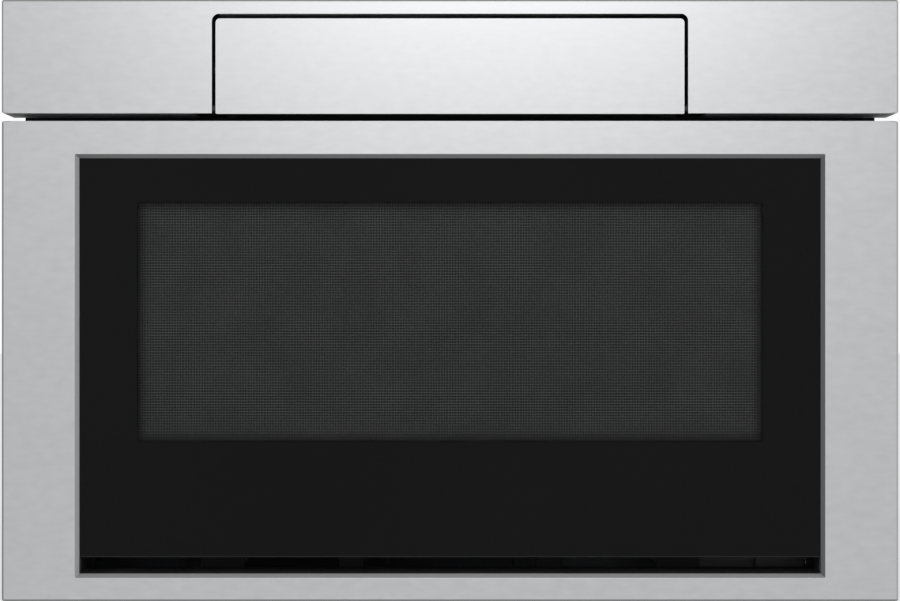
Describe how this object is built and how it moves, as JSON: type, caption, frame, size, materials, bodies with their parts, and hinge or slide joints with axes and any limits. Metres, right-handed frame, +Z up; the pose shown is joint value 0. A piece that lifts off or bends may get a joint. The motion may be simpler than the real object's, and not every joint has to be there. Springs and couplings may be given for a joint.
{
  "type": "microwave drawer",
  "caption": "Built-in microwave oven whose door, tub and floor slide out as a drawer under a fixed fascia with a tilting control flap.",
  "frame": {"origin": "centre of the chassis base's underside, on the shelf that carries it", "axes": "+X to the right seen from the front, the front faces -Y, +Z up"},
  "size_m": [0.6064, 0.594, 0.4078],
  "materials": {
    "brushed_front": "brushed",
    "galvanised": "satin",
    "black_plate": "satin",
    "black_glass": "gloss",
    "clear_glass": "gloss",
    "touch_glass": "gloss",
    "enamel": "satin",
    "ceramic": "gloss",
    "black_plastic": "matte",
    "dark_screen": "matte",
    "white_plastic": "satin",
    "zinc_steel": "satin",
    "bearing": "polished",
    "nylon": "satin",
    "motor_case": "satin",
    "lamination": "satin",
    "copper_coil": "satin",
    "board": "satin",
    "mica": "satin",
    "gasket_black": "matte"
  },
  "bodies": {
    "chassis": {"base_pan": "galvanised", "side_panel_left": "galvanised", "side_panel_right": "galvanised", "top_cover": "galvanised", "rear_panel": "galvanised", "front_plate": "black_plate", "cavity_wrapper": "enamel", "cavity_ceiling": "enamel", "cavity_rear": "enamel", "waveguide": "galvanised", "stirrer_cover": "mica", "stirrer_motor": "zinc_steel", "magnetron": "motor_case", "fan_shroud": "galvanised", "fan_motor": "lamination", "transformer_core": "lamination", "transformer_coils": "copper_coil", "hv_capacitor": "motor_case", "noise_filter": "board", "power_board": "board", "oven_lamp": "zinc_steel", "drawer_motor": "black_plastic", "slide_brackets": "galvanised", "slide_outer_left": "zinc_steel", "slide_outer_right": "zinc_steel", "interlock_brackets": "galvanised", "interlock_switches": "black_plastic", "fascia_panel": "brushed_front", "control_housing": "black_plastic", "flap_motor": "motor_case", "cord_gland": "gasket_black", "chassis_screws": "zinc_steel"},
    "drawer": {"door_frame": "brushed_front", "door_glass": "black_glass", "choke_frame": "dark_screen", "inner_window": "clear_glass", "door_back_panel": "black_plate", "choke_cover": "black_plastic", "vent_channel": "black_plastic", "drawer_tub": "enamel", "ceramic_floor": "ceramic", "tub_glides": "nylon", "drawer_brackets": "galvanised", "slide_inner_left": "zinc_steel", "slide_inner_right": "zinc_steel", "drive_rack": "nylon"},
    "slide_intermediate": {"slide_middle_left": "zinc_steel", "slide_middle_right": "zinc_steel"},
    "outer_ball_cages": {"ball_cages_outer": "bearing"},
    "inner_ball_cages": {"ball_cages_inner": "bearing"},
    "pinion": {"drive_pinion": "zinc_steel"},
    "stirrer": {"stirrer_blade": "motor_case"},
    "fan": {"fan_wheel": "white_plastic"},
    "control_flap": {"flap_panel": "brushed_front", "flap_housing": "black_plastic", "control_glass": "touch_glass", "control_board": "board"},
    "flap_drive": {"flap_pinion": "nylon"},
    "hook_left": {"latch_hook_left": "black_plastic"},
    "hook_right": {"latch_hook_right": "black_plastic"}
  },
  "joints": [
    {"name": "drawer_slide", "type": "slide", "parent": "chassis", "child": "drawer", "axis": [0, -1, 0], "range_m": [0, 0.381]},
    {"name": "middle_slide", "type": "slide", "parent": "chassis", "child": "slide_intermediate", "axis": [0, -1, 0], "range_m": [0, 0.1905]},
    {"name": "outer_cage_slide", "type": "slide", "parent": "chassis", "child": "outer_ball_cages", "axis": [0, -1, 0], "range_m": [0, 0.09525]},
    {"name": "inner_cage_slide", "type": "slide", "parent": "chassis", "child": "inner_ball_cages", "axis": [0, -1, 0], "range_m": [0, 0.28575]},
    {"name": "pinion_spin", "type": "hinge", "parent": "chassis", "child": "pinion", "pos_m": [0.2564, -0.24, 0.022], "axis": [1, 0, 0], "continuous": true},
    {"name": "stirrer_spin", "type": "hinge", "parent": "chassis", "child": "stirrer", "pos_m": [0, -0.06025, 0.286], "axis": [0, 0, 1], "continuous": true},
    {"name": "fan_spin", "type": "hinge", "parent": "chassis", "child": "fan", "pos_m": [-0.057, 0.21725, 0.264], "axis": [1, 0, 0], "continuous": true},
    {"name": "flap_hinge", "type": "hinge", "parent": "chassis", "child": "control_flap", "pos_m": [0, -0.3075, 0.3346], "axis": [1, 0, 0], "range_deg": [0, 55]},
    {"name": "flap_pinion_spin", "type": "hinge", "parent": "chassis", "child": "flap_drive", "pos_m": [-0.1555, -0.2915, 0.36231], "axis": [1, 0, 0], "continuous": true},
    {"name": "hook_left_pivot", "type": "hinge", "parent": "drawer", "child": "hook_left", "pos_m": [-0.2635, -0.291, 0.18], "axis": [1, 0, 0], "range_deg": [0, 6], "stiffness_Nm_per_rad": 0.2, "springref_deg": -5.73},
    {"name": "hook_right_pivot", "type": "hinge", "parent": "drawer", "child": "hook_right", "pos_m": [0.2635, -0.291, 0.18], "axis": [1, 0, 0], "range_deg": [0, 6], "stiffness_Nm_per_rad": 0.2, "springref_deg": -5.73}
  ],
  "couplings": [
    {"joint": "middle_slide", "follows": "drawer_slide", "ratio": 0.5},
    {"joint": "outer_cage_slide", "follows": "drawer_slide", "ratio": 0.25},
    {"joint": "inner_cage_slide", "follows": "drawer_slide", "ratio": 0.75},
    {"joint": "pinion_spin", "follows": "drawer_slide", "rad_per_m": 71.429},
    {"joint": "flap_pinion_spin", "follows": "flap_hinge", "ratio": -3}
  ]
}
